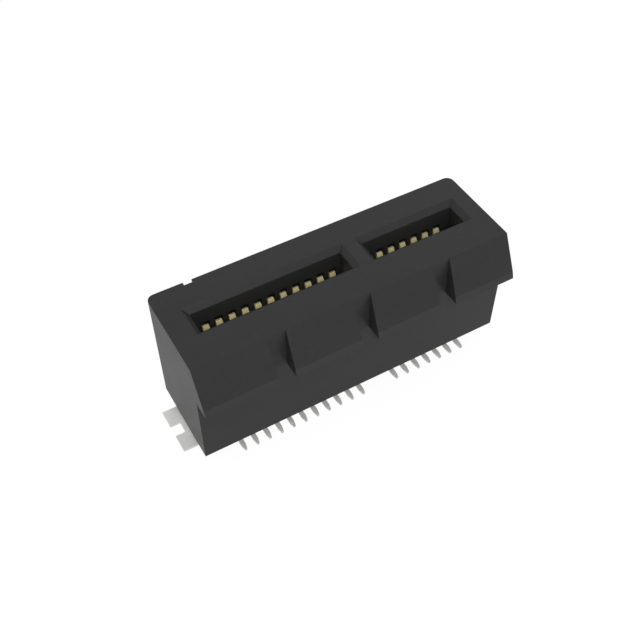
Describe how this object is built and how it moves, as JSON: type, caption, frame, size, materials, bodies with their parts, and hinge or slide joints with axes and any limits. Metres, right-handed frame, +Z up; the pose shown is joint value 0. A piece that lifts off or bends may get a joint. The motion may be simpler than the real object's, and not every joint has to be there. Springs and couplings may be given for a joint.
{
  "type": "pci express connector",
  "caption": "Upright surface-mount card edge connector: a black moulding with a keyed card slot and a sloping gapped shoulder, rows of spring contacts with solder feet, and flat hold-downs.",
  "frame": {"origin": "on the surface of the circuit board, in the middle of the contact field", "axes": "+X along the card slot from the first contact to the last, +Y towards the wall with the pin-1 notch, +Z up from the board to the mouth of the card slot"},
  "size_m": [0.0266, 0.0094, 0.011],
  "materials": {
    "housing": "black glass-filled moulding plastic with a fine semi-matte surface",
    "contact": "gold plate on copper alloy at the spring end, matte tin on the solder foot",
    "hold_down": "matte tin plate on stamped sheet"
  },
  "bodies": {
    "root": {"housing": "housing", "back_contact_01": "contact", "back_contact_02": "contact", "back_contact_03": "contact", "back_contact_04": "contact", "back_contact_05": "contact", "back_contact_06": "contact", "back_contact_07": "contact", "back_contact_08": "contact", "back_contact_09": "contact", "back_contact_10": "contact", "back_contact_11": "contact", "back_contact_12": "contact", "back_contact_13": "contact", "back_contact_14": "contact", "back_contact_15": "contact", "back_contact_16": "contact", "back_contact_17": "contact", "back_contact_18": "contact", "front_contact_01": "contact", "front_contact_02": "contact", "front_contact_03": "contact", "front_contact_04": "contact", "front_contact_05": "contact", "front_contact_06": "contact", "front_contact_07": "contact", "front_contact_08": "contact", "front_contact_09": "contact", "front_contact_10": "contact", "front_contact_11": "contact", "front_contact_12": "contact", "front_contact_13": "contact", "front_contact_14": "contact", "front_contact_15": "contact", "front_contact_16": "contact", "front_contact_17": "contact", "front_contact_18": "contact", "right_hold_down": "hold_down", "left_hold_down": "hold_down"}
  },
  "joints": []
}
